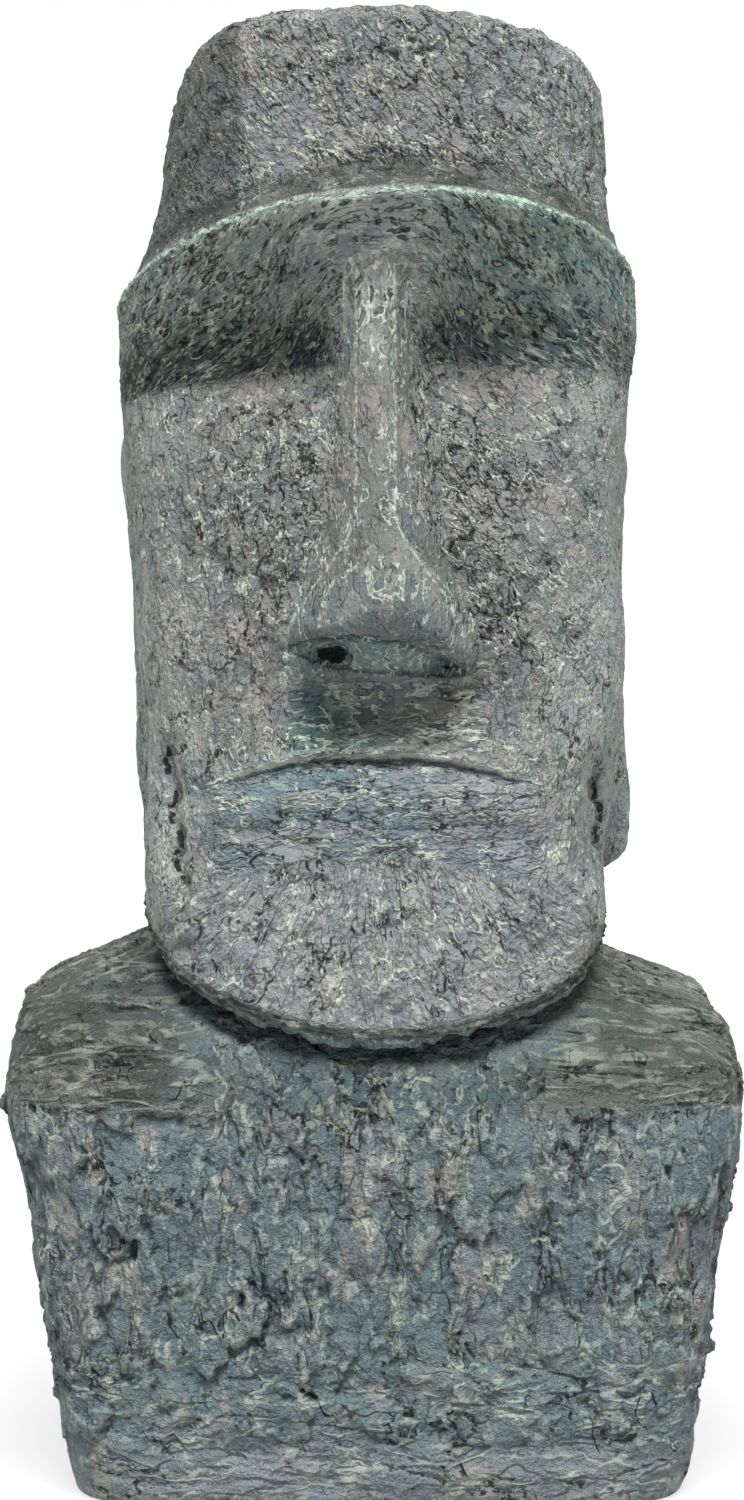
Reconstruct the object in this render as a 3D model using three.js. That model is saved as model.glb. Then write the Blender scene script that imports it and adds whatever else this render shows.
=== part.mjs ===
// A garden statue after the stone heads of Easter Island: a long head with a deep brow, a long nose
// and a broad jaw, on a square block of shoulders.
//
// It is one hollow casting, so it is one solid here. Its surface is lofted: closed rings are stacked
// from the foot to the crown, each one a rounded outline that can dip or rise as it goes round, as the
// brow, the mouth and the jaw line do. The nose, the lips, the nostrils and the ears are then raised
// from those rings or sunk into them by functions of their own.
//
// Frame: millimetres, +Z up, the face towards -Y, the origin in the middle of the foot.

import * as THREE from "three";
import { LoftGeometry } from "three/addons/geometries/LoftGeometry.js";

// ---- Driving dimensions --------------------------------------------------------------------------

const HEIGHT = 711;
const U = HEIGHT / 100; // every size below is in hundredths of the height

// ---- The rings -----------------------------------------------------------------------------------

// Each ring has its heights at the front, at the sides and at the back, half its width, its reach to
// the front and to the back, how square it is (2 is an ellipse, more is a rounded box) and how many
// rows of faces lie between it and the next. tilt lifts its left side (+X), and shift moves it to +X.
const ring = (name, heights, half, [front, back], square, rows, { tilt = 0, shift = 0 } = {}) => ({
  name,
  heights,
  half,
  front,
  back,
  square,
  rows,
  tilt,
  shift,
});

const RINGS = [
  ring("underside", [0, 0, 0], 18.5, [17, 15], 2, 1, { shift: 0.2 }),
  ring("foot", [0.01, 0.01, 0.01], 20.5, [18.8, 16.6], 8, 1, { shift: 0.2 }),
  ring("foot bevel", [0.8, 0.8, 0.8], 20.9, [19.2, 17.0], 8, 2, { shift: 0.2 }),
  ring("waist", [12, 12, 12], 22.7, [19.6, 17.3], 8, 1, { shift: 0.1 }),
  ring("chest", [23, 22.8, 24.8], 24.1, [19.9, 17.6], 7.5, 1, { shift: 0.2 }),
  ring("chest edge", [25.2, 25.4, 28], 25.3, [19.7, 17.8], 7, 1),
  ring("shoulder edge", [26.9, 29.6, 32], 25.5, [18.8, 17.5], 6, 1, { shift: -0.2 }),
  ring("shoulder", [28.2, 32.5, 34.6], 24.2, [17.0, 16.4], 5, 2, { tilt: -0.3, shift: -0.4 }),
  ring("shoulder slope", [30.4, 34.1, 36.3], 20.4, [13.9, 14.6], 4, 2, { tilt: -0.6, shift: -0.4 }),
  ring("neck", [32.9, 36, 38.2], 16.2, [10.8, 12.8], 3, 1, { tilt: -0.6 }),
  ring("throat", [32.6, 36.6, 39.2], 15.6, [13.4, 12.7], 3, 1, { tilt: -0.6 }),
  ring("jaw edge", [30.1, 40.6, 41.2], 15.9, [16.9, 12.9], 3.2, 1, { tilt: -0.6, shift: -0.2 }),
  ring("jaw", [31.1, 41.5, 42.2], 16.2, [18.0, 13.0], 3.3, 2, { tilt: -0.5, shift: -0.1 }),
  ring("chin", [37.2, 42.5, 43.9], 16.3, [18.1, 13.2], 3.5, 3),
  ring("under the lip", [43.2, 43.6, 45.5], 16.3, [17.0, 13.3], 3.6, 2, { shift: 0.1 }),
  ring("lower lip", [46.6, 44.6, 47.2], 16.3, [16.9, 13.4], 3.6, 2, { shift: 0.2 }),
  ring("mouth", [48.6, 45.5, 48.6], 16.3, [16.6, 13.5], 3.6, 1, { shift: 0.3 }),
  ring("upper lip", [49.7, 46.6, 50], 16.4, [16.5, 13.5], 3.6, 3, { shift: 0.3 }),
  ring("under the nose", [53.8, 51.2, 53.6], 16.7, [16.1, 13.6], 3.7, 4, { shift: 0.5 }),
  ring("nostrils", [57.8, 56.4, 57.4], 16.9, [16.1, 13.7], 3.9, 3, { shift: 0.4 }),
  ring("cheek", [62.6, 61.6, 61.6], 17.0, [15.9, 13.8], 4, 4, { shift: 0.1 }),
  ring("cheekbone", [71, 69.6, 68], 17.5, [14.5, 13.9], 3.8, 3, { shift: -0.1 }),
  ring("eye", [76, 74.6, 72.4], 18.0, [12.3, 13.9], 3.2, 3, { tilt: 0.8, shift: -0.1 }),
  ring("socket", [81.6, 77.2, 76], 18.3, [14.6, 13.8], 2.6, 3, { tilt: 1 }),
  ring("brow", [86.1, 79.8, 79.2], 18.3, [18.4, 13.6], 2.35, 1, { tilt: 1.2 }),
  ring("brow edge", [86.8, 80.9, 80.4], 18.1, [18.2, 13.5], 2.35, 2, { tilt: 1.2 }),
  ring("crown foot", [89.0, 86.0, 84.6], 16.2, [14.9, 13.3], 2.7, 2, { shift: 0.5 }),
  ring("crown", [93.4, 92, 91.4], 15.5, [14.5, 13.0], 2.9, 2, { shift: 0.8 }),
  ring("crown edge", [99.4, 96.2, 97], 14.8, [13.9, 12.4], 2.9, 1, { tilt: -0.5, shift: 1 }),
  ring("crown rim", [100, 98.2, 98.6], 13.7, [13.1, 11.3], 2.7, 1, { tilt: -0.5, shift: 1 }),
  ring("crown top", [99.9, 99.5, 99.4], 8, [7.4, 6.8], 2.5, 1, { tilt: -0.2, shift: 1 }),
];

// ---- The face ------------------------------------------------------------------------------------

// The nose from the brow down: how far it reaches forward, half its width and how full it is across
// (more is boxier). It is narrow to the tip, then flares into the wings and slopes back underneath.
const NOSE = [
  { height: 86.0, reach: 15.0, half: 3.0, full: 1.9 },
  { height: 80.0, reach: 16.4, half: 3.0, full: 1.9 },
  { height: 74.0, reach: 17.8, half: 3.1, full: 1.8 },
  { height: 68.0, reach: 19.4, half: 3.4, full: 1.8 },
  { height: 64.0, reach: 20.8, half: 3.9, full: 1.9 },
  { height: 61.5, reach: 21.8, half: 4.7, full: 1.9 },
  { height: 59.5, reach: 22.1, half: 5.8, full: 2.0 },
  { height: 57.5, reach: 21.3, half: 6.3, full: 2.5 },
  { height: 56.0, reach: 18.9, half: 6.3, full: 2.6 },
  { height: 54.8, reach: 16.8, half: 5.8, full: 2.4 },
  { height: 53.4, reach: 15.2, half: 4.6, full: 2.2 },
];
const NOSE_TIP = 59.5;
const NOSE_LEAN = [-0.3, 0.5]; // the ridge's place across the face, at the brow and at the tip
const WINGS = { height: 57.3, fade: 3, droop: { left: 1.7, right: 0.2 } }; // how far each wing hangs down
const NOSTRIL = { across: 3.3, height: 56.2, halfWidth: 1.9, halfHeight: 1.3, deep: 1.8 };
const SOCKET = { across: 7.4, height: 77, halfWidth: 5.2, halfHeight: 3.2, deep: 1.3 };

// The mouth: a thin shelf of upper lip over a slit, and a full lower lip.
const MOUTH = { half: 11.2, edge: 49.7, slit: 48.6, shelf: 0.9, deep: 0.6, pout: 0.8, lower: 45.9, full: 2 };
const CORNERS = { from: 3, drop: 1.2, fade: 2.4 }; // how the ends of the mouth turn down

// The shallow hollow between the nose and the upper lip.
const MUZZLE = { half: 10, low: 49.9, high: 57.2, deep: 1.3 };

// ---- The ears ------------------------------------------------------------------------------------

// A long slab on each side of the head, hollowed above and swelling to a lobe below, seen from the
// side: middle and halfDepth are measured forward of the middle of the head.
const EAR = { middle: -4.6, halfDepth: 4.2, low: 36.6, high: 73.5, stand: 0.8, corner: 3.5 };
const HOLLOW = { halfDepth: 1.9, low: 52, high: 70, deep: 1.2 };
const LOBES = { left: { height: 42.4, stand: 1.1 }, right: { height: 50.5, stand: 0.3 } };
const LOBE_HALF = 5.5;

// The furrow between jaw and lobe, at its own place across the face on each side.
const FURROW = { left: 15.3, right: 14.1, width: 0.9, low: 39.5, high: 51, deep: 1.1 };

// ---- Small tools ---------------------------------------------------------------------------------

const smooth = THREE.MathUtils.smoothstep;
const mix = THREE.MathUtils.lerp;
const degrees = THREE.MathUtils.degToRad;

// 1 in the middle of a hill of that half-width, falling to 0 in a bell.
const bell = (distance, halfWidth) => Math.exp(-((distance / halfWidth) ** 2));

// The larger of two reaches, with their meeting rounded over about `round`.
function blend(a, b, round) {
  const h = Math.max(round - Math.abs(a - b), 0) / round;
  return Math.max(a, b) + (h * h * round) / 4;
}

// A curve through equally spaced values that never swings past them.
function curveThrough(values, t) {
  const last = values.length - 1;
  const i = Math.min(Math.floor(t), last - 1);
  const slope = (k) => values[k + 1] - values[k];
  const tangent = (k) => {
    if (k === 0 || k === last) return slope(Math.min(k, last - 1));
    const before = slope(k - 1);
    const after = slope(k);
    return before * after > 0 ? (2 * before * after) / (before + after) : 0;
  };
  const s = t - i;
  const s2 = s * s;
  const s3 = s2 * s;
  return (
    values[i] * (2 * s3 - 3 * s2 + 1) +
    tangent(i) * (s3 - 2 * s2 + s) +
    values[i + 1] * (3 * s2 - 2 * s3) +
    tangent(i + 1) * (s3 - s2)
  );
}

// ---- The loft ------------------------------------------------------------------------------------

// The angles of a ring's points, from the front round by +X: close together at the nose, further
// apart along the cheeks and ears, and widest across the back.
function ringAngles() {
  const half = [0];
  const walk = (step, end) => {
    while (half.at(-1) < end - 0.01) half.push(half.at(-1) + step);
  };
  walk(2, 26);
  walk(4, 122);
  walk(10, 172);
  const left = half.slice(1).reverse().map((angle) => 360 - angle);
  return [...half, 180, ...left].map(degrees);
}

// Every number that describes a ring, at any place t between two named rings.
function ringAt(t) {
  const along = (read) => curveThrough(RINGS.map(read), t);
  return {
    front: along((ring) => ring.heights[0]),
    side: along((ring) => ring.heights[1]),
    back: along((ring) => ring.heights[2]),
    tilt: along((ring) => ring.tilt),
    half: along((ring) => ring.half),
    reachFront: along((ring) => ring.front),
    reachBack: along((ring) => ring.back),
    square: along((ring) => ring.square),
    shift: along((ring) => ring.shift),
  };
}

// A point of the plain ring, before the face and the ears are worked.
function plainPoint(at, angle) {
  const across = Math.sin(angle);
  const forward = Math.cos(angle);
  const reach = forward > 0 ? at.reachFront : at.reachBack;
  const radius =
    ((Math.abs(across) / at.half) ** at.square + (Math.abs(forward) / reach) ** at.square) **
    (-1 / at.square);
  const end = forward > 0 ? at.front : at.back;
  return {
    x: radius * across + at.shift,
    reach: radius * forward,
    z: mix(at.side, end, Math.abs(forward) ** 1.4) + at.tilt * across,
  };
}

// Where a height falls among the nose's sections, as a place for curveThrough.
function noseAt(z) {
  const below = NOSE.findIndex((section) => section.height < z);
  const i = below < 1 ? NOSE.length - 2 : below - 1;
  const t = i + (NOSE[i].height - z) / (NOSE[i].height - NOSE[i + 1].height);
  return (read) => curveThrough(NOSE.map(read), t);
}

// How far forward the nose stands at a place on the face.
function noseReach(x, z, face) {
  const top = NOSE[0].height;
  const aside = Math.abs(x - mix(NOSE_LEAN[0], NOSE_LEAN[1], smooth(top - z, 0, top - NOSE_TIP)));
  if (z >= top || z <= NOSE.at(-1).height) return 0;
  const along = noseAt(z);
  const height = along((section) => section.reach);
  const across = (aside / along((section) => section.half)) ** along((section) => section.full);
  return height - across * Math.max(height - face, 1);
}

// How far the rows are drawn down towards the tips of the wings.
function wingDroop(x, z) {
  const aside = x - NOSE_LEAN[1];
  const fall = aside > 0 ? WINGS.droop.left : WINGS.droop.right;
  const across = smooth(Math.abs(aside), 1.5, 6.5) * (1 - smooth(Math.abs(aside), 7.5, 12));
  return fall * across * bell(z - WINGS.height, WINGS.fade);
}

// How far the rows are drawn down towards the corners of the mouth.
function cornerDrop(x, level) {
  const aside = Math.abs(x);
  const across = smooth(aside, CORNERS.from, MOUTH.half) * (1 - smooth(aside, MOUTH.half, MOUTH.half + 4));
  return CORNERS.drop * across * bell(level - MOUTH.slit, CORNERS.fade);
}

// What the lips, the muzzle and the eye sockets add to the face's reach or take off it. level is the
// row's own height at the front, which follows the curve of the mouth.
function faceRelief(x, z, level) {
  const taper = (half, power) => Math.max(0, 1 - Math.abs(x / half) ** power);
  const shelf = smooth(level, MOUTH.slit, MOUTH.edge) * bell(Math.max(0, level - MOUTH.edge), 0.9);
  const slit = bell(level - MOUTH.slit, 0.6);
  const pout = bell(level - MOUTH.lower, MOUTH.full);
  const lips = MOUTH.shelf * shelf - MOUTH.deep * slit + MOUTH.pout * pout;
  const muzzle = smooth(z, MUZZLE.low, MUZZLE.low + 1.2) * smooth(MUZZLE.high - z, 0, 2.5);
  const aside = Math.abs(x) - SOCKET.across;
  const socket = bell(aside, SOCKET.halfWidth) * bell(z - SOCKET.height, SOCKET.halfHeight);
  const hollows = MUZZLE.deep * muzzle * taper(MUZZLE.half, 2.5) + SOCKET.deep * socket;
  return lips * taper(MOUTH.half, 4) - hollows;
}

// The nostrils, sunk into the slope under the nose.
function nostrilDepth(x, z) {
  const aside = Math.abs(x - NOSE_LEAN[1]) - NOSTRIL.across;
  const away = Math.hypot(aside / NOSTRIL.halfWidth, (z - NOSTRIL.height) / NOSTRIL.halfHeight);
  return NOSTRIL.deep * smooth(1.2 - away, 0, 0.7);
}

// How far an ear and its furrow move the side of the head outwards.
function earSwell(x, reach, z) {
  const side = x > 0 ? "left" : "right";
  const middle = (EAR.low + EAR.high) / 2;
  const u = Math.abs(reach - EAR.middle) / EAR.halfDepth;
  const v = Math.abs(z - middle) / (EAR.high - middle);
  const inside = 1 - (u ** EAR.corner + v ** EAR.corner) ** (1 / EAR.corner);
  const slab = smooth(inside, -0.15, 0.2);
  const hollow =
    bell(reach - EAR.middle, HOLLOW.halfDepth) *
    smooth(z, HOLLOW.low, HOLLOW.low + 4) *
    smooth(HOLLOW.high - z, 0, 4);
  const lobe = LOBES[side].stand * bell(z - LOBES[side].height, LOBE_HALF);
  const furrow =
    (reach > 0 ? bell(Math.abs(x) - FURROW[side], FURROW.width) : 0) *
    smooth(z, FURROW.low, FURROW.low + 3) *
    smooth(FURROW.high - z, 0, 4);
  return slab * (EAR.stand - HOLLOW.deep * hollow + lobe) - FURROW.deep * furrow;
}

// The slow unevenness of a form built up by hand, nil at the foot.
function handWorked(angle, z) {
  const waves = [
    Math.sin(3 * angle + 0.21 * z),
    Math.sin(5 * angle - 0.33 * z + 1.7),
    Math.sin(2 * angle + 0.55 * z + 4),
  ];
  return 0.11 * (waves[0] + waves[1] + waves[2]) * smooth(z, 1, 8);
}

// One point of the finished surface.
function surfacePoint(at, angle) {
  const { x, reach, z } = plainPoint(at, angle);
  const facing = smooth(Math.cos(angle), 0.35, 0.8);
  const onHead = smooth(at.front, 32.6, 34);
  let forward = reach;
  let droop = 0;
  if (facing > 0 && onHead > 0) {
    forward += faceRelief(x, z, at.front) * facing * onHead;
    forward = blend(forward, noseReach(x, z, forward), 1.1);
    forward -= nostrilDepth(x, z);
    droop = wingDroop(x, z) + cornerDrop(x, at.front);
  }
  const swell = earSwell(x, reach, z) * onHead + handWorked(angle, z);
  return new THREE.Vector3(
    (x + swell * Math.sin(angle)) * U,
    -(forward + swell * Math.cos(angle)) * U,
    (z - droop) * U,
  );
}

function statueGeometry() {
  const angles = ringAngles();
  const places = RINGS.flatMap(({ rows }, i) => Array.from({ length: rows }, (_, row) => i + row / rows));
  const sections = places.map((place) => {
    const at = ringAt(place);
    return angles.map((angle) => surfacePoint(at, angle));
  });
  const geometry = new LoftGeometry(sections, { capStart: true, capEnd: true });
  geometry.computeBoundingBox();
  const middle = geometry.boundingBox.getCenter(new THREE.Vector3());
  return geometry.translate(-middle.x, -middle.y, 0);
}

// ---- The statue ----------------------------------------------------------------------------------

const statue = new THREE.Mesh(
  statueGeometry(),
  new THREE.MeshStandardMaterial({ color: 0x767a7a, roughness: 0.9, metalness: 0 }),
);
statue.name = "statue";

const model = new THREE.Group();
model.add(statue);

export default model;
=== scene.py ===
import math

import bmesh
import bpy
import numpy as np
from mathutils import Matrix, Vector


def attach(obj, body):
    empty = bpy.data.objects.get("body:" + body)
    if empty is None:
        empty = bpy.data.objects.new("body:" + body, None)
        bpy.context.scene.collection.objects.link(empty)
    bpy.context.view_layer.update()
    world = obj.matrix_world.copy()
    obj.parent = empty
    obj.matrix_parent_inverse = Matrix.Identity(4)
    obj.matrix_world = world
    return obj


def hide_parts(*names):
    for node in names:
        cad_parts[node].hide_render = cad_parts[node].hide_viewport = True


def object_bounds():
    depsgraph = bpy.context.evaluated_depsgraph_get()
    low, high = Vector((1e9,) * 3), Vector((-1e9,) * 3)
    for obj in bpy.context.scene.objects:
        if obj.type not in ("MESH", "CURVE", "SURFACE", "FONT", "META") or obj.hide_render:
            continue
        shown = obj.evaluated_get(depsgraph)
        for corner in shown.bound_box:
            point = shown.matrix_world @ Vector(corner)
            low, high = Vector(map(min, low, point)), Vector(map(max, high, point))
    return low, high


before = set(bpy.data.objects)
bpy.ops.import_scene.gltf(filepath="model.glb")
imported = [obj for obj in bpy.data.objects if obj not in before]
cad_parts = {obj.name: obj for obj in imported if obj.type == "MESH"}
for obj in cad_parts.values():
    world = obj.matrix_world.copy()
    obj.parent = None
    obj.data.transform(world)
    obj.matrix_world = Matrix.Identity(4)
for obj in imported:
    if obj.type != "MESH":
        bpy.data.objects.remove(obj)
cad_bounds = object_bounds()
low, high = (Vector(corner) for corner in cad_bounds)
height = high.z - low.z
unit = height / 100  # the statue's carving is laid out in hundredths of its height


# ---- Camera --------------------------------------------------------------------------------------
# It stands level in front of the statue, half-way up, and takes in the whole height.

FILM_WIDTH = 36  # in millimetres
LENS = 75.2  # in millimetres
SIDE_SHIFT = -0.001  # of the picture's longer side
CAMERA_BEFORE = 2.227  # how many statue heights it stands in front of the statue's middle
CAMERA_UP = 0.497  # how many statue heights it stands above the floor

camera_data = bpy.data.cameras.new("camera")
camera_data.sensor_width = FILM_WIDTH
camera_data.lens = LENS
camera_data.shift_x = SIDE_SHIFT
camera = bpy.data.objects.new("camera", camera_data)
camera.location = (0, -CAMERA_BEFORE * height, CAMERA_UP * height)
camera.rotation_euler = (math.radians(90), 0, 0)
bpy.context.collection.objects.link(camera)
bpy.context.scene.camera = camera


# ---- Studio --------------------------------------------------------------------------------------
# A white floor that runs out of sight in a room that is white behind the statue and greyer in front,
# so that one soft light from high in front can model it. The floor glows like a light table, which
# keeps the shadows on it faint, and is toned to match the room.

ROOM_BEHIND = 1.0  # how bright the room is behind the statue
ROOM_BEFORE = 0.40  # and in front of it
KEY = 6.0  # in watts per square metre
KEY_TOWARDS = Vector((-0.03, 0.52, -0.85))
KEY_WIDTH = math.radians(28)  # the angle that the light fills, which softens its shadows
FLOOR_HALF = 40  # half the floor's side, in metres
FLOOR_GLOW = 0.7
FLOOR_OVER_ROOM = 1.08  # how much brighter than the room the floor is, so that no grey shows


def set_inputs(node, **values):
    for name, value in values.items():
        node.inputs[name.replace("_", " ")].default_value = value


key = bpy.data.objects.new("key light", bpy.data.lights.new("key light", "SUN"))
key.data.energy = KEY
key.data.angle = KEY_WIDTH
key.rotation_euler = KEY_TOWARDS.to_track_quat("-Z", "Y").to_euler()
bpy.context.collection.objects.link(key)

world = bpy.data.worlds.new("studio")
world.use_nodes = True
room = world.node_tree.nodes
split = room.new("ShaderNodeSeparateXYZ")
shade = room.new("ShaderNodeMapRange")
shade.interpolation_type = "SMOOTHSTEP"
set_inputs(shade, From_Min=-0.5, From_Max=0.5, To_Min=ROOM_BEFORE, To_Max=ROOM_BEHIND)
world.node_tree.links.new(room.new("ShaderNodeTexCoord").outputs["Generated"], split.inputs["Vector"])
world.node_tree.links.new(split.outputs["Y"], shade.inputs["Value"])
world.node_tree.links.new(shade.outputs["Result"], room["Background"].inputs["Strength"])
set_inputs(room["Background"], Color=(1, 1, 1, 1))
bpy.context.scene.world = world
bpy.context.scene.view_settings.view_transform = "Standard"

floor_mesh = bpy.data.meshes.new("floor")
floor_corners = [(FLOOR_HALF * x, FLOOR_HALF * y, 0) for x, y in [(-1, -1), (1, -1), (1, 1), (-1, 1)]]
floor_mesh.from_pydata(floor_corners, [], [(0, 1, 2, 3)])
floor = bpy.data.objects.new("floor", floor_mesh)
bpy.context.collection.objects.link(floor)
floor_paint = bpy.data.materials.new("floor white")
floor_paint.use_nodes = True
floor_light = (ROOM_BEHIND + ROOM_BEFORE) / 2 + KEY / math.pi * -KEY_TOWARDS.normalized().z
floor_tone = (FLOOR_OVER_ROOM * ROOM_BEHIND - FLOOR_GLOW) / floor_light
set_inputs(
    floor_paint.node_tree.nodes["Principled BSDF"],
    Base_Color=(floor_tone, floor_tone, floor_tone, 1),
    Roughness=1,
    Specular_IOR_Level=0,
    Emission_Color=(1, 1, 1, 1),
    Emission_Strength=FLOOR_GLOW,
)
floor_mesh.materials.append(floor_paint)


# ---- Statue: the form ----------------------------------------------------------------------------
# One hollow casting in stone-powder resin, taken from a model built up in plaster with a spatula.
# The CAD solid gives the form; here it loses its facets and takes a skin dense enough to work.

SKIN = 0.002  # the side of the skin's cells, in metres
MOST_TRIANGLES = 197000
SHARP = math.radians(32)  # an edge that turns more than this keeps some of its sharpness
CRISP = 1.6 * SHARP  # and one that turns more than this keeps all of it
SAME_POINT = 1e-5  # points of the solid that are nearer than this are one, in metres


def apply_modifiers(piece):
    evaluated = piece.evaluated_get(bpy.context.evaluated_depsgraph_get())
    mesh = bpy.data.meshes.new_from_object(evaluated)
    piece.modifiers.clear()
    old = piece.data
    piece.data = mesh
    bpy.data.meshes.remove(old)


def rounded_skin(solid):
    """A copy of the CAD solid with its facets rounded off, covered in even small cells."""
    mesh = solid.data.copy()
    form = bmesh.new()
    form.from_mesh(mesh)
    bmesh.ops.remove_doubles(form, verts=form.verts, dist=SAME_POINT)
    bmesh.ops.join_triangles(
        form, faces=form.faces, angle_face_threshold=math.pi, angle_shape_threshold=math.pi
    )
    crease = form.edges.layers.float.new("crease_edge")
    for edge in form.edges:
        turn = edge.calc_face_angle(0)
        edge[crease] = min(1, turn / CRISP) if turn > SHARP else 0
    form.to_mesh(mesh)
    form.free()
    piece = bpy.data.objects.new("statue_casting", mesh)
    bpy.context.collection.objects.link(piece)
    rounding = piece.modifiers.new("round the facets", "SUBSURF")
    rounding.levels = 2
    skin = piece.modifiers.new("even skin", "REMESH")
    skin.mode = "VOXEL"
    skin.voxel_size = SKIN
    apply_modifiers(piece)
    return piece


statue = rounded_skin(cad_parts["statue"])


# ---- Statue: the carving -------------------------------------------------------------------------
# The edges that the spatula cut crisply into the wet plaster: brow, nostrils, lips, jaw and furrows.
# Places are in units from the middle of the foot: across, the reach forward and the height.

NOSE_REACH = 22.2  # how far forward of the head's middle the tip of the nose stands

# How far the spatula raised or cut each edge, in metres.
BROW_RAISED = 0.0020
UNDER_BROW_CUT = 0.0012
LIP_RAISED = 0.0008
SLIT_CUT = 0.0008
JAW_RAISED = 0.0012
UPPER_LIP_FILLED = 0.0045
FURROW_CUT = 0.0060
NOSTRIL_CUT = np.array([0, 0.0024, 0.0012])  # back and up, under the nose
CHEST_ROUNDING = 140  # how often the chest's edge is rubbed down


def points_of(mesh):
    """Every point of the mesh, a row each, in metres."""
    points = np.empty(len(mesh.vertices) * 3)
    mesh.vertices.foreach_get("co", points)
    return points.reshape(-1, 3)


def normals_of(mesh):
    normals = np.empty(len(mesh.vertices) * 3)
    mesh.vertices.foreach_get("normal", normals)
    return normals.reshape(-1, 3)


def move_points(mesh, points):
    mesh.vertices.foreach_set("co", points.ravel())
    mesh.update()


def places_of(points):
    """Where points lie on the statue, in units: across to its left, forward and up."""
    across = points[:, 0] / unit
    reach = NOSE_REACH - (points[:, 1] - low.y) / unit
    return across, reach, points[:, 2] / unit


def rise(value, start, end):
    """0 before start, 1 after end and a smooth climb between them."""
    t = np.clip((value - start) / (end - start), 0, 1)
    return t * t * (3 - 2 * t)


def hill(value, half_width):
    """1 at 0, falling smoothly to both sides."""
    return np.exp(-((value / half_width) ** 2))


def within(value, start, end, soft):
    """1 between start and end and 0 outside, with borders that fade over soft to each side."""
    return rise(value, start - soft, start + soft) * rise(value, end + soft, end - soft)


class Lines:
    """The heights of the statue's main lines at each point, curving round from front to side."""

    def __init__(self, across, reach):
        self.forward = np.clip(reach / np.hypot(across, reach), 0, 1) ** 1.4
        self.turn = across / np.hypot(across, reach)
        self.brow = self.at(front=86.6, side=80.6, tilt=1.2)
        self.eyes = self.at(front=75.8, side=74.2, tilt=0.8)
        corners = rise(np.abs(across), 3, 11.2) * rise(np.abs(across), 15.2, 11.2)
        self.lips = self.at(front=49.0, side=45.9) - 0.9 * corners
        self.jaw = self.at(front=31.1, side=41.5, tilt=-0.5)
        self.chest = self.at(front=25.4, side=26.4)

    def at(self, front, side, tilt=0):
        return side + (front - side) * self.forward + tilt * self.turn


def under_nose_gap(across, reach, up):
    """How far inside the slope under the nose a point is, between the tip and the nostrils' sills."""
    tip = 57.3 - 0.036 * (across + 1.6) ** 2
    sill = 54.45 + 0.016 * (across - 4) ** 2
    from_sides = 6.9 - np.abs(across - 0.7)
    return np.minimum(np.minimum(tip - up, up - sill), from_sides) - 9 * rise(reach, 15, 13.5)


def nostrils(across, up):
    """The two holes. The statue's right one is the deeper."""
    right = hill(np.hypot((across + 2.6) / 1.3, (up - 56.1) / 0.55), 1)
    left = hill(np.hypot((across - 5.2) / 1.3, (up - 55.2) / 0.45), 1)
    return right + 0.7 * left


def furrows(across, reach, up):
    """The ragged furrow between jaw and ear lobe on each side."""
    ripple = 0.25 * np.sin(1.9 * up + 0.8 * np.sin(4.1 * up))
    left = hill(across - 16.2 + 0.12 * (up - 40) + ripple, 0.34) * within(up, 41, 48.3, 1)
    right = hill(across + 12.8 + 0.13 * (up - 40) - ripple, 0.34) * within(up, 40.5, 50.3, 1)
    return (left + right) * rise(reach, 4, 7)


def average_round(mesh, values, times):
    """Each point's values averaged with its neighbours', so many times over."""
    edges = np.empty(len(mesh.edges) * 2, np.int64)
    mesh.edges.foreach_get("vertices", edges)
    first, second = edges.reshape(-1, 2).T
    count = len(mesh.vertices)
    neighbours = np.bincount(first, minlength=count) + np.bincount(second, minlength=count)
    for _ in range(times):
        total = np.bincount(first, values[second], count) + np.bincount(second, values[first], count)
        values = 0.5 * values + 0.5 * total / neighbours
    return values


def soften(mesh, points, where, times):
    """Round the form off wherever where is 1."""
    smoothed = np.column_stack([average_round(mesh, points[:, k], times) for k in range(3)])
    return points + (smoothed - points) * where[:, None]


def carve(piece):
    mesh = piece.data
    points = points_of(mesh)
    normals = normals_of(mesh)
    across, reach, up = places_of(points)
    lines = Lines(across, reach)
    facing = rise(-normals[:, 1], 0.1, 0.6)
    front = rise(reach, 2, 6)

    brow_edge = hill(up - lines.brow, 0.4) * front
    under_brow = hill(up - lines.brow + 1.6, 0.9) * front
    above_slit = up - lines.lips
    mouth = np.clip(1 - (np.abs(across) / 11.5) ** 6, 0, 1) * facing * rise(reach, 8, 12)
    lip_edge = hill(above_slit - 0.6, 0.4) * mouth
    slit = hill(above_slit, 0.3) * mouth
    filled_lip = rise(-above_slit, -0.1, 0.3) * rise(above_slit, -3.8, -0.6) * mouth
    jaw_edge = hill(up - lines.jaw + 0.5, 0.6) * rise(reach, 3, 8)
    furrow = furrows(across, reach, up)

    out = BROW_RAISED * brow_edge - UNDER_BROW_CUT * under_brow
    out += LIP_RAISED * lip_edge - SLIT_CUT * slit + UPPER_LIP_FILLED * filled_lip
    out += JAW_RAISED * jaw_edge - FURROW_CUT * furrow
    points += normals * out[:, None]

    chest_edge = within(up - lines.chest, -3.5, 3.5, 1.5) * rise(reach, -4, 4)
    points = soften(mesh, points, chest_edge, CHEST_ROUNDING)

    holes = 2.5 * nostrils(across, up) * rise(reach, 13, 15)
    hollow = rise(under_nose_gap(across, reach, up), -0.1, 0.3) + holes
    points += hollow[:, None] * NOSTRIL_CUT
    move_points(mesh, points)


carve(statue)


# ---- Statue: the plaster relief ------------------------------------------------------------------
# Plaster laid on in smears with a spatula: each smear ends in a ragged lip over the one before, with
# tears and pits between. It is coarse on the chest, fine on the face and nearly smooth on the nose.

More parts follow.
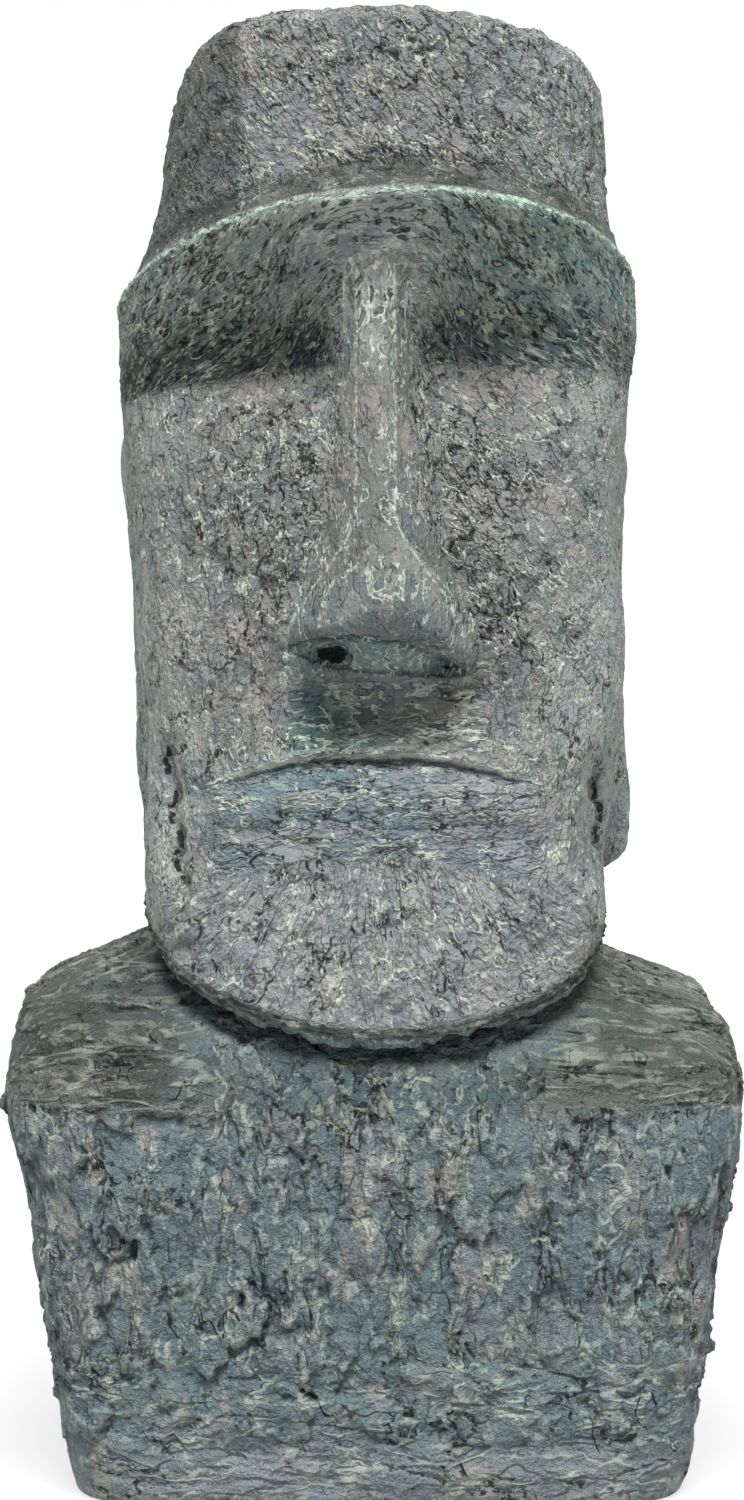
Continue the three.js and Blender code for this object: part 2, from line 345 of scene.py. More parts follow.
STEPS = (-1, 0, 1)
DIAGONALS = [(x, y, z) for x in STEPS for y in STEPS for z in STEPS if abs(x) + abs(y) + abs(z) == 2]
GRADIENTS = np.array(DIAGONALS, float)
SLANT = math.radians(35)  # how far the strokes lean on the left cheek and the crown
TURNED = np.array(
    [(math.cos(SLANT), 0, math.sin(SLANT)), (0, 1, 0), (-math.sin(SLANT), 0, math.cos(SLANT))]
)

MILLIMETRE = 0.001
FLAKE = 0.012  # the width of the flakes on the face, in metres
SMALL_FLAKE = 0.0065
UPRIGHT = np.array((0.75, 0.9, 1.5))  # how long the strokes are across, in depth and upwards
LEVEL = np.array((1.7, 1.0, 0.8))
FAN_FINENESS = 1.5  # how much finer the strokes are that fan out

# Large numbers that turn a cell's place and a seed into a number that looks random.
ALONG_X, ALONG_Y, ALONG_Z, ALONG_SEED = 73856093, 19349663, 83492791, 40503
SCATTER = 1274126177
NEXT_TIMES, NEXT_PLUS = 1103515245, 12345  # what takes one random number to the next
BITS_32 = 0xFFFFFFFF
BITS_31 = 0x7FFFFFFF
BITS_16 = 0xFFFF


def cell_number(cell, seed):
    """A number for each cell of space that looks nothing like its neighbours'."""
    x, y, z = cell.T
    return x * ALONG_X ^ y * ALONG_Y ^ z * ALONG_Z ^ seed * ALONG_SEED


def noise(points, seed):
    """Smooth random hills and hollows, about -1 to 1, one unit apart."""
    cell = np.floor(points).astype(np.int64)
    inside = points - cell
    fade = inside**3 * (inside * (inside * 6 - 15) + 10)
    total = np.zeros(len(points))
    for corner in np.ndindex(2, 2, 2):
        number = cell_number(cell + corner, seed)
        number = (number ^ (number >> 13)) * SCATTER & BITS_32
        gradient = GRADIENTS[(number ^ (number >> 16)) % len(GRADIENTS)]
        weight = np.where(corner, fade, 1 - fade).prod(axis=1)
        total += weight * ((inside - corner) * gradient).sum(axis=1)
    return total


def clouds(points, size, octaves, seed, stretch=(1, 1, 1), rough=0.55):
    """Noise upon finer noise. size is the width of the largest hills in metres."""
    at = points / (size * np.array(stretch))
    return sum(rough**k * noise(at * 2.03**k, seed + k) for k in range(octaves))


def flakes(points, size, seed):
    """Flat flakes, each tilted its own way: a point's height on its flake and how far in it lies."""
    at = points / size
    at = at + 0.45 * np.column_stack([clouds(at, 0.7, 2, seed + k) for k in (1, 2, 3)])
    cell = np.floor(at).astype(np.int64)
    nearest = np.full(len(at), 9.0)
    second = np.full(len(at), 9.0)
    height = np.zeros(len(at))
    for step in np.ndindex(3, 3, 3):
        corner = cell + step - 1
        number = cell_number(corner, seed)
        chance = []  # three for the middle's place, three for the tilt and one for the height
        for _ in range(7):
            number = (number * NEXT_TIMES + NEXT_PLUS) & BITS_31
            chance.append(((number >> 8) & BITS_16) / BITS_16 - 0.5)
        away = at - (corner + 0.5 + 0.8 * np.column_stack(chance[:3]))
        distance = np.sqrt((away**2).sum(axis=1))
        nearer = distance < nearest
        second = np.where(nearer, nearest, np.minimum(second, distance))
        nearest = np.where(nearer, distance, nearest)
        level = 1.3 * (away * np.column_stack(chance[3:6])).sum(axis=1) + 0.5 * chance[6]
        height = np.where(nearer, level, height)
    return height, second - nearest


class Regions:
    """How far each point belongs to each part of the statue, from 0 to 1."""

    MOUTH_UP = 52  # the strokes on the chin fan out from this height
    MOUTH_ROUND = 12  # units across those strokes for each radian round the mouth
    HEAD_ROUND = 17  # units round the head and the neck for each radian
    CHIN_TOP = 60  # above this the strokes that fan out are those under the brow

    def __init__(self, points):
        across, reach, up = places_of(points)
        lines = Lines(across, reach)
        aside = np.abs(across - 0.2)
        over_brow = up - lines.brow
        over_eyes = up - lines.eyes
        over_lips = up - lines.lips
        self.front = rise(reach, 0, 7)
        self.below_jaw = rise(lines.jaw - up, -0.4, 0.6)
        self.torso = rise(lines.chest - up, -1.2, 0.8)
        self.shoulders = self.below_jaw * (1 - self.torso)
        self.middle = self.shoulders * rise(np.abs(across), 17, 4) * rise(reach, 3, 7)
        self.head = 1 - self.below_jaw
        self.crown = rise(over_brow, 0.5, 2.2)
        self.ledge = rise(over_brow, 0.1, 0.5) * rise(over_brow, 3.4, 1.8) * self.front
        self.soffit = rise(over_eyes, -0.8, 1.2) * rise(-over_brow, -0.3, 0.4) * self.front
        self.socket = rise(over_eyes, -0.5, 0.6) * rise(over_eyes, 5.2, 1.6)
        self.socket *= rise(aside, 2.6, 4.2) * self.front * (1 - 0.25 * rise(across, 0, 4))
        nose_half = 2.3 + 4.3 * rise(up, 67, 58.5)
        self.nose = rise(aside / nose_half, 1.15, 0.8) * within(up, 54.5, 83, 1.2) * self.front
        self.by_nose = rise(aside, 3, 4.5) * rise(aside, 11.5, 8) * within(up, 57, 73, 2) * self.front
        self.muzzle = within(over_lips, 0.8, 8, 0.5) * rise(across, -6.0, -5.3) * rise(across, 9.6, 6)
        self.muzzle *= self.front * (1 - self.nose)
        self.mouth = within(over_lips, -6.5, 0.6, 1.2) * rise(aside, 13, 9) * self.front
        self.chin = self.head * rise(-over_lips, 5, 9) * rise(aside, 15.5, 13.5) * self.front
        self.cheek = within(up, 56, 75, 2) * (1 - self.nose) * self.head * self.front
        self.face = self.head * (1 - self.crown) * (1 - self.soffit)
        self.foot = rise(up, 5, 2.5)

        # Where the strokes run level, lean or fan out; elsewhere they run upwards.
        low_torso = self.torso * rise(up, 13, 8)
        self.level = np.clip(self.mouth + self.muzzle + self.foot + 0.6 * low_torso, 0, 1)
        self.slant = np.clip(self.cheek * rise(across, 3, 6) + 0.7 * self.crown * self.head, 0, 1)
        fanned = self.chin + self.soffit * (1 - self.nose) + self.shoulders - self.middle
        self.fan = np.clip(fanned, 0, 1) * rise(reach, -5, -2)
        self.fan_place = self.along_fan(across, reach, up, lines)

    def along_fan(self, across, reach, up, lines):
        """Places that are long along the strokes: from the mouth, under the brow or round the neck."""
        round_mouth = np.arctan2(across, self.MOUTH_UP - up) * self.MOUTH_ROUND
        from_mouth = np.hypot(across, self.MOUTH_UP - up)
        on_chin = np.column_stack([round_mouth, 0.35 * from_mouth, 0 * up])
        round_head = np.arctan2(across, reach) * self.HEAD_ROUND
        aside = np.abs(round_head)
        below_brow = lines.brow - up
        turn = 0.43 * rise(aside, 1.5, 9)
        outward = 0.9 * aside + turn * below_brow
        inward = 0.9 * below_brow - turn * aside
        under_brow = np.column_stack([0.35 * outward * np.sign(across), 1.1 * inward, 0.3 * reach])
        round_neck = np.column_stack([0.3 * round_head, 0.8 * up, 0.5 * reach])
        place = np.where((up > self.CHIN_TOP)[:, None], under_brow, on_chin)
        return unit * np.where(self.below_jaw[:, None] > 0.5, round_neck, place)


def work_plaster(piece):
    mesh = piece.data
    points = points_of(mesh)
    normals = normals_of(mesh)
    across, reach, up = places_of(points)
    part = Regions(points)
    fineness = (1 - 0.5 * part.below_jaw)[:, None]  # everything is twice as large on the chest
    seat = points * fineness

    border = 0.5 + 0.6 * clouds(seat, 0.030, 2, seed=141)
    laid = seat / UPRIGHT
    laid = np.where((part.slant > border)[:, None], (seat @ TURNED) / UPRIGHT, laid)
    laid = np.where((part.level > border)[:, None], seat / LEVEL, laid)
    laid = np.where((part.fan > border)[:, None], FAN_FINENESS * (part.fan_place * fineness), laid)
    flake, edge = flakes(laid, FLAKE, seed=11)
    small_flake, _ = flakes(laid, SMALL_FLAKE, seed=12)
    crevice = hill(edge, 0.07) * rise(clouds(seat, 0.024, 2, seed=81), -0.1, 0.2)
    lumps = clouds(seat, 0.030, 4, seed=71)
    tears = rise(clouds(seat, 0.018, 3, 91, stretch=(0.8, 1, 1.2), rough=0.5), 0.42, 0.56)
    swell = clouds(points, 0.110, 2, seed=111)

    # How deep the relief is on each part, in millimetres.
    strength = 1.5 * part.face + 0.9 * part.by_nose + 2.1 * part.crown * part.head + 2.5 * part.soffit
    strength += 4.3 * part.torso + 3.5 * part.shoulders
    strength *= (1 - 0.8 * part.nose) * (1 - 0.6 * part.foot) * (1 - 0.6 * part.ledge)
    strength *= 1 - 0.4 * part.head * rise(np.abs(across), 13, 16)
    strength *= rise(up, 0.2, 2) * (0.45 + 0.55 * rise(reach, -9, 0))
    relief = 1.3 * flake + 0.5 * small_flake - 0.3 * crevice + 0.4 * lumps - 0.12 * tears
    relief = strength * relief + (0.5 + 0.9 * part.torso) * swell * rise(up, 0.2, 6)
    points += normals * (MILLIMETRE * relief)[:, None]
    move_points(mesh, points)


work_plaster(statue)

thinning = statue.modifiers.new("fewer triangles", "DECIMATE")
thinning.ratio = MOST_TRIANGLES / (2 * len(statue.data.polygons))  # each cell is two triangles
apply_modifiers(statue)
statue.data.polygons.foreach_set("use_smooth", [True] * len(statue.data.polygons))
inside_box = np.clip(points_of(statue.data), np.array(low), np.array(high))
move_points(statue.data, inside_box)


# ---- Statue: the paint ---------------------------------------------------------------------------
# A slate-grey ground, washed darker where it is hollow and mauve, green or blue by turns, and
# dry-brushed with pale sage over every raised lip. Matt throughout, a little worn to beige.
# Painted shade and painted light are laid in as well, under the brow, nose and chin and on the head's and
# shoulders' sides.


def colour(hex_code):
    """A screen colour such as 8a858a as the linear colour that a shader takes."""
    parts = np.array([int(hex_code[i : i + 2], 16) / 255 for i in (0, 2, 4)])
    return np.where(parts <= 0.04045, parts / 12.92, ((parts + 0.055) / 1.055) ** 2.4)


def lay(ground, paint, cover):
    """One colour laid over another, as thickly as cover says at each point."""
    return ground + (colour(paint) - ground) * np.clip(cover, 0, 1)[:, None]


def keep(mesh, name, values):
    """Keeps a value for every point where the paint can read it."""
    attribute = mesh.attributes.new(name, "FLOAT", "POINT")
    attribute.data.foreach_set("value", values.astype(np.float32))


def standing_out(mesh, points, normals, times):
    """How far each point stands out from the form smoothed over its neighbours, in metres."""
    smoothed = soften(mesh, points, np.ones(len(points)), times)
    return ((points - smoothed) * normals).sum(axis=1)


GROUND = "676867"  # the slate grey under everything
FAINT = 0.02  # where a line isn't painted, its gap is divided by this and so lies far off


def paint_ground(piece):
    """Brushes the ground on, region by region, with painted light and painted shade in places, and marks
    where the finer paint goes.
    """
    mesh = piece.data
    points = points_of(mesh)
    normals = normals_of(mesh)
    across, reach, up = places_of(points)
    lines = Lines(across, reach)
    part = Regions(points)
    side = rise(np.abs(across - 0.3), 12, 16) * part.head
    drift = clouds(points, 0.090, 3, seed=131)
    patch = clouds(points, 0.045, 3, seed=151)
    under = rise(-normals[:, 2], 0.15, 0.7)
    overhung = rise(-normals[:, 2], -0.1, 0.25)

    # the sides of the jaw, which take painted light
    lit_jaw_sides = within(np.abs(across), 11.5, 17, 1.5) * within(up, 40, 61, 3) * rise(reach, 0, 3)
    coats = [
        # The head, from its sides and crown down to the jaw, with painted light and painted shade in
        # places.
        # painted light: both sides of the head are painted lighter, as if lit
        ("7c8583", 0.8 * side),
        ("6e6f70", part.crown),
        # painted light: the crown's left side is lighter, as the side the light falls on
        ("7c8b89", 0.35 * part.crown * rise(across, 8, 11)),
        ("40453e", part.ledge),
        ("707c78", part.soffit),
        ("a0a3a3", 0.8 * part.soffit * hill(across - 0.3, 5.5)),
        ("62968f", 0.3 * part.soffit * rise(across, 2, 6)),
        # painted shade under the brow: the eye sockets are near-black
        ("121c1e", 0.92 * part.socket),
        ("2f5a60", 0.3 * part.socket * rise(across, 2, 5)),
        ("7c8185", 0.8 * part.chin * (1 - side)),
        ("586c78", 0.75 * part.mouth),
        # painted shadow of the nose: dark over the upper lip
        ("26403f", 0.92 * part.muzzle),
        ("575b56", 0.8 * part.nose),
        ("637374", 0.5 * part.nose * rise(up, 63, 59)),
        # painted shade: the right cheek is darker beside the nose
        ("5a5b57", 0.4 * part.cheek * rise(-across, 2, 5)),
        # Olive shoulders, the left one lighter as painted light, and a blue-grey chest, with painted
        # shade below the chin and painted light in the chin's shadow.
        ("3d423a", part.shoulders),
        # painted light: the left shoulder is lighter, as the side the light falls on
        ("545c50", 0.5 * part.shoulders * rise(across, 2, 6)),
        ("56656a", part.torso),
        ("4a595d", 0.85 * part.middle),
        # painted shade: a darker band on the chest below the chin
        ("3b4b4f", 0.6 * part.middle * hill(up - 27, 2.0)),
        # painted light: the chest is paler higher up under the chin, where the chin's shadow falls
        ("82979a", 0.8 * part.middle * rise(up, 28.3, 30.3) * (1 - overhung)),
        ("757d80", 0.7 * part.foot),
        # Painted light on the sides of the jaw, wear and patches over all of that, and painted shade and
        # painted light where the chest and shoulders face down.
        # painted light: the sides of the jaw are painted lighter
        ("98a29f", 0.45 * lit_jaw_sides),
        ("8a8484", 0.35 * rise(drift, -0.05, 0.4) * part.head * (1 - 0.5 * part.soffit)),
        ("627172", 0.35 * rise(-patch, -0.05, 0.4)),
        # painted shade: the chest is darker where it faces down
        ("464f4d", 0.5 * under * part.torso),
        # painted light: the shoulders are paler where they face down close under the chin
        ("6f8385", 0.85 * overhung * part.shoulders * rise(up, 26.5, 28)),
    ]
    ground = np.tile(colour(GROUND), (len(points), 1))
    for paint, cover in coats:
        ground = lay(ground, paint, cover)
    shade = mesh.color_attributes.new("ground", "FLOAT_COLOR", "POINT")
    shade.data.foreach_set("color", np.column_stack([ground, np.ones(len(ground))]).ravel())

    fine = standing_out(mesh, points, normals, 3)
    broad = standing_out(mesh, points, normals, 14)
    raised = rise(fine, 0.0001, 0.0007) + 0.35 * rise(broad, 0.0003, 0.0018)
    sunk = rise(-fine, 0.00008, 0.0007) + 0.7 * rise(-broad, 0.0003, 0.0018)
    # The last dark coat is painted shade on the crown's right side and in the eye sockets, the right one
    # darker; on the ledge and the outer shoulders it is their own darker paint.
    shaded_crown_side = part.crown * part.head * rise(across, -8.8, -9.3) * rise(reach, -7, -3)
    wash_and_shade = 0.55 * shaded_crown_side + (0.38 - 0.18 * rise(across, -2, 2)) * part.socket
    wash_and_shade += 0.4 * part.ledge + 0.25 * (part.shoulders - part.middle) * part.front
    under_nose = under_nose_gap(across, reach, up)
    # the nostrils, where black painted shade goes
    holes = nostrils(across, up) * rise(reach, 13, 15) * (1 - 0.2 * rise(across, 0, 2))
    cracked = 0.05 + 0.7 * part.by_nose + 0.3 * part.crown + 0.35 * part.soffit + 0.5 * part.socket
    marks = {
        "raised": np.clip(raised, 0, 1) * (1 - 0.6 * part.nose),
        "sunk": np.clip(sunk, 0, 1),
        "wash_and_shade": np.clip(wash_and_shade, 0, 0.8),
        # where painted shade and painted highlights are stroked on: under the brow, over the upper lip
        # and under the nose
        "shaded": np.clip(part.soffit + part.muzzle + 0.8 * rise(under_nose, 0.0, 0.3), 0, 1),
        "coarse": part.below_jaw,
        "torso": part.torso,
        "slant": part.slant,
        "level": part.level,
        "fan": part.fan,
        "smooth": np.clip(0.75 * part.nose + 0.5 * part.ledge, 0, 1),
        "cracked": np.clip(cracked + 0.06 * part.below_jaw - 0.3 * part.nose, 0, 1),
        "furrow": furrows(across, reach, up),
        "under_nose": under_nose,
        "nostril": holes,
    }

    # How far above each painted line a point is, or outside the one by the nose, in units.
    nose_half = 1.3 + 4.6 * rise(up, 65.5, 56.8)
    outside_nose = np.abs(across - 0.1) - nose_half
    on_nose = rise(reach, 9, 13) * within(up, 57, 82, 2)
    on_lips = rise(np.abs(across), 12, 9.5) * rise(reach, 5, 8)
    marks["brow_gap"] = (up - lines.brow) / (FAINT + rise(reach, -1, 5))
    marks["jaw_gap"] = (up - lines.jaw + 0.3) / (FAINT + rise(reach, 2, 8))
    marks["lip_gap"] = (up - lines.lips) / (FAINT + on_lips)
    marks["nose_gap"] = outside_nose / (FAINT + on_nose)
    for name, values in marks.items():
        keep(mesh, name, values)
    strokes = mesh.attributes.new("fan_place", "FLOAT_VECTOR", "POINT")
    strokes.data.foreach_set("vector", part.fan_place.ravel())


class Recipe:
    """Builds a material's nodes by short calls."""

    # The Mix node has its two inputs and its result once for every kind of value, all with the same
    # names, so they are found by number.
    MIX_SOCKETS = {"FLOAT": (2, 3, 0), "VECTOR": (4, 5, 1), "RGBA": (6, 7, 2)}

    def __init__(self, name):
        self.material = bpy.data.materials.new(name)
        self.material.use_nodes = True
        self.nodes = self.material.node_tree.nodes
        self.links = self.material.node_tree.links
        self.surface = self.nodes["Principled BSDF"]

    def put(self, value, socket):
        if isinstance(value, bpy.types.NodeSocket):
            self.links.new(value, socket)
        else:
            socket.default_value = value

    def attribute(self, name, output="Fac"):
        node = self.nodes.new("ShaderNodeAttribute")
        node.attribute_name = name
        return node.outputs[output]

    def scaled(self, place, factor):
        node = self.nodes.new("ShaderNodeVectorMath")
        node.operation = "SCALE"
        self.put(place, node.inputs["Vector"])
        self.put(factor, node.inputs["Scale"])
        return node.outputs["Vector"]

    def vector(self, operation, a, b, output="Vector"):
        node = self.nodes.new("ShaderNodeVectorMath")
        node.operation = operation
        self.put(a, node.inputs[0])
        self.put(b, node.inputs[1])
        return node.outputs[output]

    def mix(self, kind, amount, a, b):
        """All a where the amount is 0 and all b where it is 1."""
        first, second, result = self.MIX_SOCKETS[kind]
        node = self.nodes.new("ShaderNodeMix")
        node.data_type = kind
        self.put(amount, node.inputs["Factor"])
        self.put(a, node.inputs[first])
        self.put(b, node.inputs[second])
        return node.outputs[result]

    def choose(self, amount, border, below, above):
        """One place where the amount is below the border, and another where it is above."""
        return self.mix("VECTOR", self.math("GREATER_THAN", amount, border), below, above)

    def stretched(self, place, stretch, turn=0):
        node = self.nodes.new("ShaderNodeMapping")
        node.vector_type = "TEXTURE"
        self.put(place, node.inputs["Vector"])
        node.inputs["Scale"].default_value = stretch
        node.inputs["Rotation"].default_value = (0, turn, 0)
        return node.outputs["Vector"]

    def noise(self, place, size, detail, rough=0.6, distortion=0, output="Fac"):
        """size is the width of the largest hills in metres."""
        node = self.nodes.new("ShaderNodeTexNoise")
        set_inputs(node, Scale=1 / size, Detail=detail, Roughness=rough, Distortion=distortion)
        self.put(place, node.inputs["Vector"])
        return node.outputs[output]

    def cells(self, place, size, feature="F1"):
        """Space cut into cells about size wide, in metres."""
        node = self.nodes.new("ShaderNodeTexVoronoi")
        node.feature = feature
        set_inputs(node, Scale=1 / size)
        self.put(place, node.inputs["Vector"])
        return node.outputs

    def math(self, operation, a, b=0.0):
        node = self.nodes.new("ShaderNodeMath")
        node.operation = operation
        self.put(a, node.inputs[0])
        self.put(b, node.inputs[1])
        return node.outputs["Value"]

    def fold(self, operation, values):
        result = values[0]
        for value in values[1:]:
            result = self.math(operation, result, value)
        return result

    def plus(self, *values):
        return self.fold("ADD", values)

    def times(self, *values):
        return self.fold("MULTIPLY", values)

    def most(self, *values):
        return self.fold("MAXIMUM", values)

    def rise(self, value, start, end):
        """0 before start, 1 after end and a smooth climb between them."""
        node = self.nodes.new("ShaderNodeMapRange")
        node.interpolation_type = "SMOOTHSTEP"
        set_inputs(node, From_Min=start, From_Max=end)
        self.put(value, node.inputs["Value"])
        return node.outputs["Result"]

    def band(self, value, start, full, fading, end):
        """Rises from start to full and falls again from fading to end."""
        return self.times(self.rise(value, start, full), self.rise(value, end, fading))

    def blend(self, amount, a, b):
        return self.mix("FLOAT", amount, a, b)

    def lay(self, ground, paint, cover):
        """One colour laid over another, as thickly as cover says."""
        return self.mix("RGBA", cover, ground, (*colour(paint), 1))


class StonePaint(Recipe):
    """The statue's skin: fine flakes and smears of plaster, then paint from the ground up."""

    FINE_FLAKE = 0.0100  # the width of the flakes too fine for the mesh, in metres
    BEND = 0.009  # how far their edges wander, in metres
    SMEAR = 0.0070  # the size of the smears of the spatula, in metres
    SMEARS = 3.4  # how many smears lie on one hill of the noise
    UPRIGHT = (0.8, 1, 1.6)  # how long the smears are across, in depth and upwards
    LEVEL = (1.8, 1.1, 0.8)

    def __init__(self):
        super().__init__("painted stone")
        self.place = self.nodes.new("ShaderNodeTexCoord").outputs["Object"]
        self.coarse = self.attribute("coarse")
        self.fray = self.noise(self.place, 0.0035, 3, 0.65)
        self.grain = self.noise(self.place, 0.0014, 2)
        self.mottle = self.noise(self.place, 0.012, 5, 0.65)
        self.wander = self.times(self.plus(self.mottle, -0.5), 1.6)
        self.ragged = self.times(self.plus(self.fray, -0.5), 2.2)
        self.lay_plaster()
        self.tear_plaster()
        self.put(self.bumps(), self.surface.inputs["Normal"])
        skin = self.wet_coats(self.attribute("ground", "Color"))
        skin = self.dry_brushing(self.cracks(skin))
        self.put(self.edges(skin), self.surface.inputs["Base Color"])
        self.put(self.rise(self.grain, -0.6, 1.3), self.surface.inputs["Roughness"])
        self.put(0.2, self.surface.inputs["Specular IOR Level"])

    def head_or_chest(self, head, chest):
        """One amount on the head and another on the coarser shoulders and chest."""
        return self.blend(self.coarse, head, chest)

    def lay_plaster(self):
        """Flakes and smears that lie along the spatula's strokes, each part's in its own way."""
        fineness = self.head_or_chest(1.0, 0.45)
        self.seat = self.scaled(self.place, fineness)
        fanned = self.scaled(self.scaled(self.attribute("fan_place", "Vector"), fineness), FAN_FINENESS)
        leaning = self.stretched(self.seat, self.UPRIGHT, -SLANT)
        level = self.stretched(self.seat, self.LEVEL)
        self.patch = self.noise(self.seat, 0.020, 3)
        laid = self.stretched(self.seat, self.UPRIGHT)
        laid = self.choose(self.attribute("slant"), self.patch, laid, leaning)
        laid = self.choose(self.attribute("level"), self.patch, laid, level)
        laid = self.choose(self.attribute("fan"), self.patch, laid, fanned)

        bend = self.noise(laid, 0.006, 2, output="Color")
        bend = self.scaled(self.vector("SUBTRACT", bend, (0.5, 0.5, 0.5)), self.BEND)
        bent = self.vector("ADD", laid, bend)
        flake = self.cells(bent, self.FINE_FLAKE)
        self.edge = self.cells(bent, self.FINE_FLAKE, "DISTANCE_TO_EDGE")["Distance"]
        tilt = self.vector("SUBTRACT", flake["Color"], (0.5, 0.5, 0.5))
        away = self.scaled(self.vector("SUBTRACT", bent, flake["Position"]), 1 / self.FINE_FLAKE)
        self.slope = self.vector("DOT_PRODUCT", tilt, away, "Value")
        self.tone = self.vector("DOT_PRODUCT", flake["Color"], (1, 0, 0), "Value")
        stroke = self.noise(laid, self.SMEAR, 2, 0.5, 0.3)
        self.smear = self.math("FRACT", self.times(stroke, self.SMEARS))

    def tear_plaster(self):
        """Where it cracked, tore in gashes and left pits, and where its lips catch the dry brush."""
        cracked = self.attribute("cracked")
        other_patch = self.noise(self.stretched(self.seat, (1, 1, 1.4)), 0.011, 3)
        self.cracked_here = self.rise(self.plus(self.patch, self.times(cracked, 0.26)), 0.50, 0.62)
        brushed_here = self.rise(self.plus(other_patch, self.times(cracked, 0.08)), 0.42, 0.58)
        torn_here = self.rise(self.plus(other_patch, self.times(cracked, 0.1)), 0.56, 0.64)
        tearing = self.noise(self.stretched(self.seat, (0.7, 1, 1.8), -0.3), 0.014, 3, 0.5)
        along = self.math("ABSOLUTE", self.plus(tearing, -0.5))
        self.gash = self.times(self.rise(along, 0.012, 0.003), torn_here)
        self.pit = self.rise(self.noise(self.seat, 0.0045, 2), 0.31, 0.26)

        ragged_edge = self.plus(self.edge, self.times(self.plus(self.fray, -0.5), 0.45))
        self.crack = self.times(self.rise(ragged_edge, 0.055, 0.01), self.cracked_here)
        foot_of_lip = self.most(self.rise(self.smear, 0.06, 0.0), self.rise(self.smear, 0.94, 1.0))
        depth = self.times(self.blend(self.cracked_here, 0.2, 0.8), self.head_or_chest(1.0, 0.6))
        self.thin_crack = self.times(foot_of_lip, depth)
        high_rim = self.times(self.rise(self.slope, 0.10, 0.20), self.rise(self.edge, 0.16, 0.05))
        crest = self.band(self.smear, 0.75, 0.84, 0.88, 0.95)
        self.lip = self.times(self.most(high_rim, crest), brushed_here)

    def bumps(self):
        """The relief that is too fine for the mesh, with heights in millimetres."""
        calm = self.attribute("smooth")
        flake = self.plus(self.times(self.slope, 5.5), self.tone, 0.5)
        flake = self.times(flake, self.rise(self.edge, 0.0, 0.14))
        slow_rise = self.times(self.smear, 1.25)
        quick_fall = self.plus(self.times(self.smear, -5.0), 5.0)
        smear = self.math("MINIMUM", slow_rise, quick_fall)
        height = self.plus(flake, self.times(smear, 1.6))
        height = self.times(height, self.blend(self.cracked_here, 0.7, 1.1))
        height = self.plus(height, self.times(self.mottle, 3.0), self.times(self.fray, 2.0))
        height = self.plus(height, self.times(self.grain, 0.8))
        height = self.plus(height, self.times(self.plus(self.pit, self.gash), -1.5))
        height = self.times(height, self.blend(calm, 1.0, 0.35), self.head_or_chest(1.0, 1.9))
        bump = self.nodes.new("ShaderNodeBump")
        set_inputs(bump, Strength=1.0, Distance=MILLIMETRE)
        self.put(height, bump.inputs["Height"])
        return bump.outputs["Normal"]

    def wet_coats(self, ground):
        """Thin coats over the ground: teal under the nose with painted shadow under its tip, then mauve,
        blue and beige by patches.
        """
        under = self.plus(self.attribute("under_nose"), self.times(self.wander, 0.7))
        flaked = self.head_or_chest(0.24, 0.14)
        dab = self.noise(self.stretched(self.place, (0.75, 1, 1.6)), 0.020, 3, 0.5)
        dabs = self.times(self.rise(dab, 0.61, 0.65), self.attribute("torso"))
        coats = [
            ("5f7673", self.times(self.rise(under, -0.08, 0.08), 0.95)),
            # painted shadow: a dark band just under the nose's tip
            ("121c1e", self.times(self.band(under, 0.0, 0.1, 0.1, 0.5), 0.8)),
            ("9d948f", self.times(self.rise(self.tone, 0.6, 0.9), flaked)),
            ("4e5d66", self.times(self.rise(self.tone, 0.4, 0.1), flaked)),
            ("a89b94", self.times(self.rise(self.mottle, 0.53, 0.68), 0.16)),
            ("46606c", self.times(self.rise(self.mottle, 0.47, 0.32), 0.16)),
            ("9b9088", self.times(dabs, 0.38)),
            ("1d272a", self.times(self.rise(self.grain, 0.42, 0.30), 0.2)),
            ("c9cec3", self.times(self.rise(self.grain, 0.58, 0.72), 0.16)),
        ]
        return self.coated(ground, coats)

    def coated(self, skin, coats):
        for paint, cover in coats:
            skin = self.lay(skin, paint, cover)
        return skin

    def cracks(self, skin):
        """Near-black paint that ran into everything sunk."""
        sunk = self.rise(self.plus(self.attribute("sunk"), self.ragged), 0.62, 0.86)
        dark = self.most(
            self.times(self.crack, 0.9),
            self.times(self.thin_crack, 0.8),
            self.times(self.pit, self.head_or_chest(0.8, 0.4)),
            self.times(self.gash, 0.95),
            self.times(sunk, self.head_or_chest(0.15, 0.3)),
        )
        return self.lay(skin, "0a0e10", self.times(dark, self.blend(self.attribute("smooth"), 1.0, 0.5)))

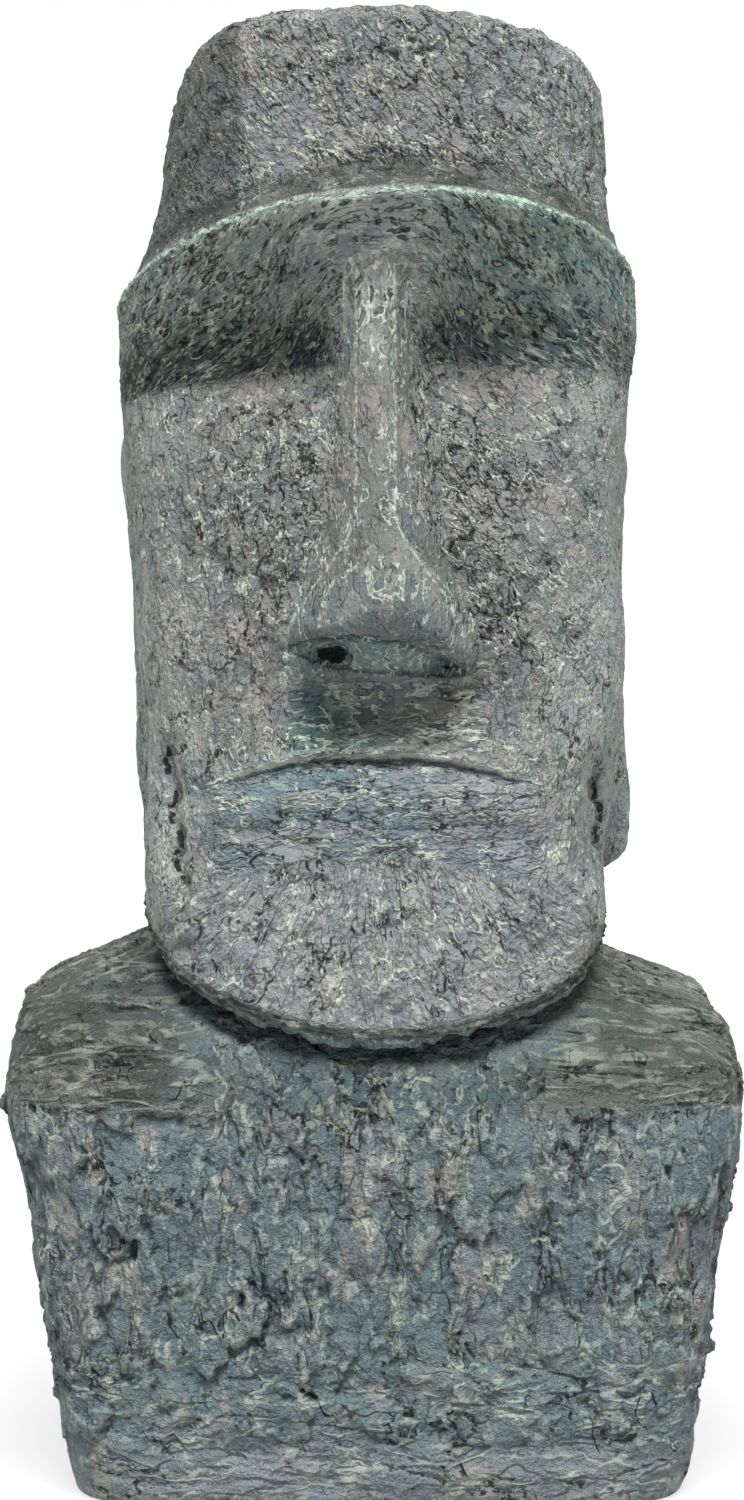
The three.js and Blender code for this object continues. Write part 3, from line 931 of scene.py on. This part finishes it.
    def dry_brushing(self, skin):
        """Painted shade and painted highlights as dark and pale strokes in the shaded hollows, sage on
        every lip and last a dark coat, partly painted shade.
        """
        raised = self.rise(self.plus(self.attribute("raised"), self.ragged), 0.66, 0.86)
        on_lips = self.times(self.lip, self.head_or_chest(0.7, 0.42))
        on_heights = self.times(raised, self.head_or_chest(0.18, 0.22))
        shaded = self.times(self.attribute("shaded"), self.blend(self.cracked_here, 0.45, 1.0))
        coats = [
            # painted shade and painted highlights: dark and pale strokes that give the shaded hollows a
            # lit relief
            ("0d1415", self.times(self.rise(self.smear, 0.32, 0.10), shaded, 0.8)),
            ("a9b5ad", self.times(self.rise(self.smear, 0.68, 0.84), shaded, 0.6)),
            ("b4beac", self.most(on_lips, on_heights)),
            # the last dark coat: painted shade on the crown's right side and in the eye sockets, their
            # own darker paint on the ledge and outer shoulders
            ("141d1e", self.attribute("wash_and_shade")),
        ]
        return self.coated(skin, coats)

    def edges(self, skin):
        """Black in the furrows and nostrils and dark blue in the mouth's slit, as painted shade, and sage
        on the main edges.
        """
        furrow = self.plus(self.attribute("furrow"), self.times(self.ragged, 0.25))
        nostril = self.plus(self.attribute("nostril"), self.times(self.ragged, 0.35))
        brow = self.plus(self.attribute("brow_gap"), self.wander)
        jaw = self.plus(self.attribute("jaw_gap"), self.wander)
        lips = self.plus(self.attribute("lip_gap"), self.times(self.wander, 0.6))
        nose = self.math("ABSOLUTE", self.plus(self.attribute("nose_gap"), self.times(self.wander, 0.35)))
        nose_line = self.times(self.rise(nose, 0.16, 0.06), self.rise(self.fray, 0.42, 0.56))
        pale = self.most(
            self.times(self.band(jaw, -0.16, -0.03, 0.06, 0.20), 0.7),
            self.times(self.band(lips, 0.14, 0.26, 0.40, 0.60), 0.5),
            self.times(nose_line, 0.45),
        )
        coats = [
            # painted shade: black in the furrows and nostrils, dark blue under the upper lip
            ("0a0e10", self.times(self.rise(furrow, 0.55, 0.72), 0.92)),
            ("06090a", self.times(self.rise(nostril, 0.34, 0.5), 0.95)),
            ("1c2c3c", self.times(self.band(lips, -0.14, -0.04, 0.03, 0.14), 0.62)),
            ("bdc8b6", pale),
            ("a6c2ae", self.times(self.band(brow, -0.20, -0.10, 0.02, 0.12), 0.72)),
        ]
        return self.coated(skin, coats)


paint_ground(statue)
statue.data.materials.clear()
statue.data.materials.append(StonePaint().material)
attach(statue, "root")
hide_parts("statue")
